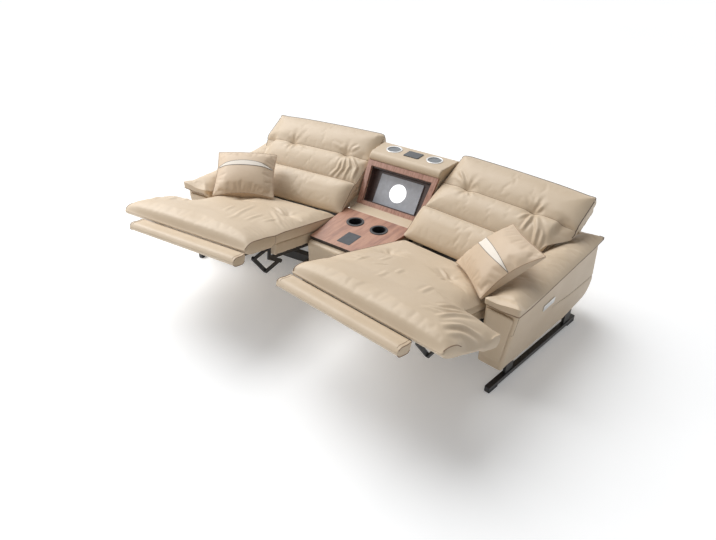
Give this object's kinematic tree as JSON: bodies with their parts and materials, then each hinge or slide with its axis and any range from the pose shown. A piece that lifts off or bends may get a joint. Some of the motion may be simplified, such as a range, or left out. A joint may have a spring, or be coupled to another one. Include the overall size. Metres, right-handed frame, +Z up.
{
  "type": "two-seater sofa",
  "caption": "Curved two-seater leather sofa with powered reclining seats, fold-out leg rests and a wedge console with table, cup holders and speaker tower.",
  "frame": {"origin": "centre of the sofa's footprint box, on the floor", "axes": "+X to the right of someone who looks at the sofa from the front, along its width; the seats face -Y; +Z is up"},
  "size_m": [2.5744, 1.7542, 0.7321],
  "materials": {
    "leather": "soft grain",
    "pillow_leather": "soft grain",
    "walnut": "satin lacquer",
    "black_steel": "satin",
    "bright_metal": "brushed",
    "black_plastic": "matte",
    "grille": "matte",
    "grey_panel": "matte",
    "lamp": "glowing diffuser",
    "niche_dark": "satin"
  },
  "bodies": {
    "frame": {"sled_legs": "black_steel", "floor_glides": "black_plastic", "base_frame": "black_steel", "slide_rails": "black_steel", "recline_motors": "black_plastic", "rear_panels": "leather", "arm_front_panels": "leather", "switch_plates": "bright_metal", "console_body": "leather", "console_table_top": "walnut", "cup_holders": "black_plastic", "charging_pad": "black_plastic", "console_tower": "leather", "niche_frame": "walnut", "niche_lining": "niche_dark", "niche_panel": "grey_panel", "niche_lamp": "lamp", "speaker_rims": "bright_metal", "speaker_grilles": "grille", "media_panel": "black_plastic", "console_legs": "black_plastic", "right_arm_body": "leather", "right_arm_pad": "leather", "left_arm_body": "leather", "left_arm_pad": "leather"},
    "right_carriage": {"right_seat_carriage": "black_steel", "right_back_drive": "black_plastic"},
    "right_seat": {"right_seat_cushion": "leather", "right_seat_platform": "leather", "right_seat_side_plates": "black_steel", "right_throw_pillow": "pillow_leather"},
    "right_legrest": {"right_legrest_cushion": "leather", "right_legrest_frame": "black_steel"},
    "right_footrest": {"right_footrest_panel": "leather"},
    "right_rear_linkage": {"right_rear_links": "black_steel"},
    "right_front_linkage": {"right_front_links": "black_steel"},
    "right_back": {"right_back_cushion": "leather", "right_lumbar_cushion": "leather", "right_back_frame": "black_steel", "right_back_shell": "leather"},
    "right_recline_key": {"right_recline_button": "bright_metal"},
    "right_return_key": {"right_return_button": "bright_metal"},
    "left_carriage": {"left_seat_carriage": "black_steel", "left_back_drive": "black_plastic"},
    "left_seat": {"left_seat_cushion": "leather", "left_seat_platform": "leather", "left_seat_side_plates": "black_steel", "left_throw_pillow": "pillow_leather"},
    "left_legrest": {"left_legrest_cushion": "leather", "left_legrest_frame": "black_steel"},
    "left_footrest": {"left_footrest_panel": "leather"},
    "left_rear_linkage": {"left_rear_links": "black_steel"},
    "left_front_linkage": {"left_front_links": "black_steel"},
    "left_back": {"left_back_cushion": "leather", "left_lumbar_cushion": "leather", "left_back_frame": "black_steel", "left_back_shell": "leather"},
    "left_recline_key": {"left_recline_button": "bright_metal"},
    "left_return_key": {"left_return_button": "bright_metal"}
  },
  "joints": [
    {"name": "right_seat_slide", "type": "slide", "parent": "frame", "child": "right_carriage", "axis": [0.1045, 0.9945, 0], "range_m": [0, 0.17]},
    {"name": "right_seat_tilt", "type": "hinge", "parent": "right_carriage", "child": "right_seat", "pos_m": [0.62368, 0.08103, 0.26317], "axis": [0.9945, -0.1045, 0], "range_deg": [0, 10]},
    {"name": "right_legrest_fold", "type": "hinge", "parent": "right_seat", "child": "right_legrest", "pos_m": [0.56228, -0.50316, 0.49298], "axis": [0.9945, -0.1045, 0], "range_deg": [0, 93]},
    {"name": "right_footrest_fold", "type": "hinge", "parent": "right_legrest", "child": "right_footrest", "pos_m": [0.53771, -0.73698, 0.54376], "axis": [0.9945, -0.1045, 0], "range_deg": [0, 90]},
    {"name": "right_rear_link_swing", "type": "hinge", "parent": "right_seat", "child": "right_rear_linkage", "pos_m": [0.57164, -0.41408, 0.35911], "axis": [0.9945, -0.1045, 0], "range_deg": [0, 93]},
    {"name": "right_front_link_swing", "type": "hinge", "parent": "right_legrest", "child": "right_front_linkage", "pos_m": [0.5492, -0.62761, 0.4883], "axis": [0.9945, -0.1045, 0], "range_deg": [-93, 0]},
    {"name": "right_back_recline", "type": "hinge", "parent": "right_carriage", "child": "right_back", "pos_m": [0.63853, 0.22223, 0.372], "axis": [0.9945, -0.1045, 0], "range_deg": [0, 48], "deforming": ["right_throw_pillow"]},
    {"name": "right_recline_press", "type": "slide", "parent": "frame", "child": "right_recline_key", "axis": [-0.9903, 0.1289, 0.0523], "range_m": [0, 0.0015], "stiffness_N_per_m": 600},
    {"name": "right_return_press", "type": "slide", "parent": "frame", "child": "right_return_key", "axis": [-0.9903, 0.1289, 0.0523], "range_m": [0, 0.0015], "stiffness_N_per_m": 600},
    {"name": "left_seat_slide", "type": "slide", "parent": "frame", "child": "left_carriage", "axis": [-0.1045, 0.9945, 0], "range_m": [0, 0.17]},
    {"name": "left_seat_tilt", "type": "hinge", "parent": "left_carriage", "child": "left_seat", "pos_m": [-0.62368, 0.08103, 0.26317], "axis": [0.9945, 0.1045, 0], "range_deg": [0, 10]},
    {"name": "left_legrest_fold", "type": "hinge", "parent": "left_seat", "child": "left_legrest", "pos_m": [-0.56228, -0.50316, 0.49298], "axis": [0.9945, 0.1045, 0], "range_deg": [0, 93]},
    {"name": "left_footrest_fold", "type": "hinge", "parent": "left_legrest", "child": "left_footrest", "pos_m": [-0.53771, -0.73698, 0.54376], "axis": [0.9945, 0.1045, 0], "range_deg": [0, 90]},
    {"name": "left_rear_link_swing", "type": "hinge", "parent": "left_seat", "child": "left_rear_linkage", "pos_m": [-0.57164, -0.41408, 0.35911], "axis": [0.9945, 0.1045, 0], "range_deg": [0, 93]},
    {"name": "left_front_link_swing", "type": "hinge", "parent": "left_legrest", "child": "left_front_linkage", "pos_m": [-0.5492, -0.62761, 0.4883], "axis": [0.9945, 0.1045, 0], "range_deg": [-93, 0]},
    {"name": "left_back_recline", "type": "hinge", "parent": "left_carriage", "child": "left_back", "pos_m": [-0.63853, 0.22223, 0.372], "axis": [0.9945, 0.1045, 0], "range_deg": [0, 48], "deforming": ["left_throw_pillow"]},
    {"name": "left_recline_press", "type": "slide", "parent": "frame", "child": "left_recline_key", "axis": [0.9903, 0.1289, 0.0523], "range_m": [0, 0.0015], "stiffness_N_per_m": 600},
    {"name": "left_return_press", "type": "slide", "parent": "frame", "child": "left_return_key", "axis": [0.9903, 0.1289, 0.0523], "range_m": [0, 0.0015], "stiffness_N_per_m": 600}
  ],
  "couplings": [
    {"joint": "right_seat_tilt", "follows": "right_seat_slide", "rad_per_m": 1.0266},
    {"joint": "right_legrest_fold", "follows": "right_seat_slide", "rad_per_m": 9.5479},
    {"joint": "right_footrest_fold", "follows": "right_seat_slide", "rad_per_m": 9.2399},
    {"joint": "right_rear_link_swing", "follows": "right_seat_slide", "rad_per_m": 9.5479},
    {"joint": "right_front_link_swing", "follows": "right_seat_slide", "rad_per_m": -9.5479},
    {"joint": "left_seat_tilt", "follows": "left_seat_slide", "rad_per_m": 1.0266},
    {"joint": "left_legrest_fold", "follows": "left_seat_slide", "rad_per_m": 9.5479},
    {"joint": "left_footrest_fold", "follows": "left_seat_slide", "rad_per_m": 9.2399},
    {"joint": "left_rear_link_swing", "follows": "left_seat_slide", "rad_per_m": 9.5479},
    {"joint": "left_front_link_swing", "follows": "left_seat_slide", "rad_per_m": -9.5479}
  ]
}
